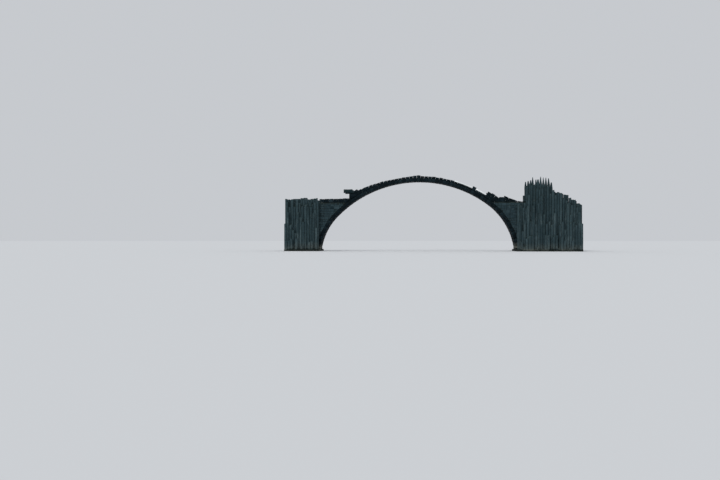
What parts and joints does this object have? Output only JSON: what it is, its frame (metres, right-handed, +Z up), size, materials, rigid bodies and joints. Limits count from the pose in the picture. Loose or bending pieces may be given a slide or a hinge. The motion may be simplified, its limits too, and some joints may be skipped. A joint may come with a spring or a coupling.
{
  "type": "moon bridge",
  "caption": "Steep round stone footbridge: a thin arch with stepped deck and rough kerbs between two abutments clad with basalt columns, the right one a tall tower pair.",
  "frame": {"origin": "at the foot of the abutments (z = 0), midway between the two ends of the bridge and midway between its faces; the crown of the arch stands at x = -1.65 m", "axes": "+X runs along the bridge towards the higher, longer abutment, +Y from the pictured face through to the back, +Z up"},
  "size_m": [34.3479, 4.2807, 8.8867],
  "materials": {
    "column_basalt": "matte",
    "footing_basalt": "matte",
    "ring_stone": "matte",
    "rubble_masonry": "matte",
    "kerb_stone": "matte",
    "paving_stone": "matte",
    "pale_slab": "matte"
  },
  "bodies": {
    "root": {"back_left_kerb": "kerb_stone", "back_right_kerb": "kerb_stone", "coping_slabs": "pale_slab", "crown_paving": "paving_stone", "crown_ring_stones": "ring_stone", "front_left_kerb": "kerb_stone", "front_right_kerb": "kerb_stone", "laid_columns": "column_basalt", "left_back_inner_columns": "column_basalt", "left_back_outer_columns": "column_basalt", "left_core": "rubble_masonry", "left_end_blocks": "kerb_stone", "left_end_columns": "column_basalt", "left_footing": "footing_basalt", "left_front_inner_columns": "column_basalt", "left_front_outer_columns": "column_basalt", "left_haunch_ring_stones": "ring_stone", "left_landing": "paving_stone", "left_landing_edging": "kerb_stone", "left_leg_ring_stones": "ring_stone", "left_steps": "paving_stone", "right_back_low_columns": "column_basalt", "right_core": "rubble_masonry", "right_end_columns": "column_basalt", "right_footing": "footing_basalt", "right_front_low_columns": "column_basalt", "right_haunch_ring_stones": "ring_stone", "right_landing": "paving_stone", "right_landing_edging": "kerb_stone", "right_leg_ring_stones": "ring_stone", "right_parapet_blocks": "kerb_stone", "right_steps": "paving_stone", "tower_back_inner_columns": "column_basalt", "tower_back_outer_columns": "column_basalt", "tower_back_pinnacles": "column_basalt", "tower_front_inner_columns": "column_basalt", "tower_front_outer_columns": "column_basalt", "tower_front_pinnacles": "column_basalt"}
  },
  "joints": []
}
